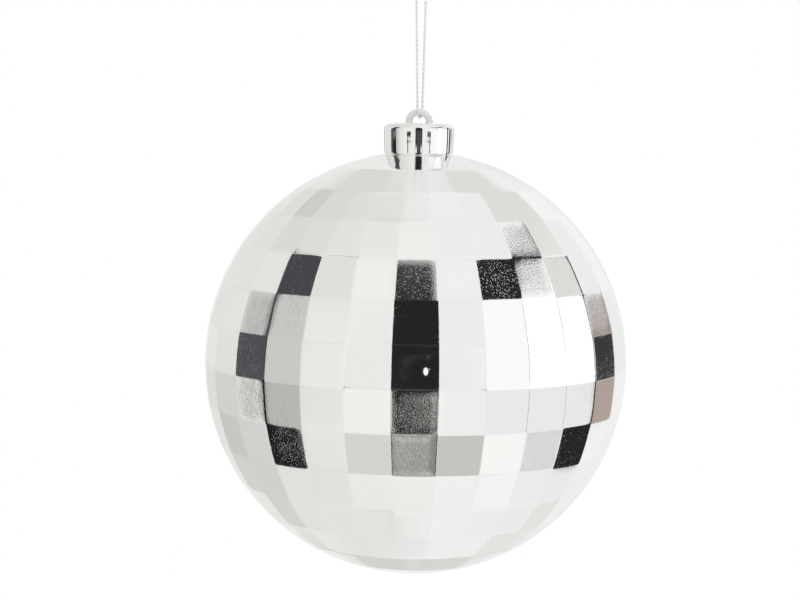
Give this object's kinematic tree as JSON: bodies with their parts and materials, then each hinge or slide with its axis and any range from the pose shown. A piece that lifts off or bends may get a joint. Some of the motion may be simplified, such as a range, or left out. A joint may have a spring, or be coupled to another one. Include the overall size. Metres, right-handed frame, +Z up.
{
  "type": "hanging mirror ball",
  "caption": "Hollow plastic mirror ball with a facet grid, a push-fit cap with an arched eyelet, and a knotted hanging loop of thin metallic cord.",
  "frame": {"origin": "the inside of the cord loop's top bend, where it rests on the hook it hangs from", "axes": "+Z up the hanging axis; the eyelet's flat side and one column of facets face -Y; +X to the right of them"},
  "size_m": [0.15, 0.1492, 0.2281],
  "materials": {
    "shell_silver": "polished",
    "cap_silver": "polished",
    "cord_silver": "satin"
  },
  "bodies": {
    "cord_top": {"cord_top": "cord_silver"},
    "cord_strands": {"cord_strand_front": "cord_silver", "cord_strand_back": "cord_silver"},
    "cord_bight": {"cord_bight": "cord_silver"},
    "cap": {"cap": "cap_silver"},
    "ball": {"ball_shell": "shell_silver"}
  },
  "joints": [
    {"name": "cord_twist", "type": "hinge", "parent": "cord_top", "child": "cord_strands", "pos_m": [0, 0, -0.01669], "axis": [0, 0, 1], "continuous": true},
    {"name": "eyelet_rock", "type": "hinge", "parent": "cord_strands", "child": "cord_bight", "pos_m": [0, 0, -0.0633], "axis": [1, 0, 0], "range_deg": [-40, 40]},
    {"name": "eyelet_swing", "type": "hinge", "parent": "cord_bight", "child": "cap", "pos_m": [0, 0, -0.06689], "axis": [0, 1, 0], "range_deg": [-55, 55]},
    {"name": "cap_pull", "type": "slide", "parent": "cap", "child": "ball", "axis": [0, 0, -1], "range_m": [0, 0.01]}
  ]
}
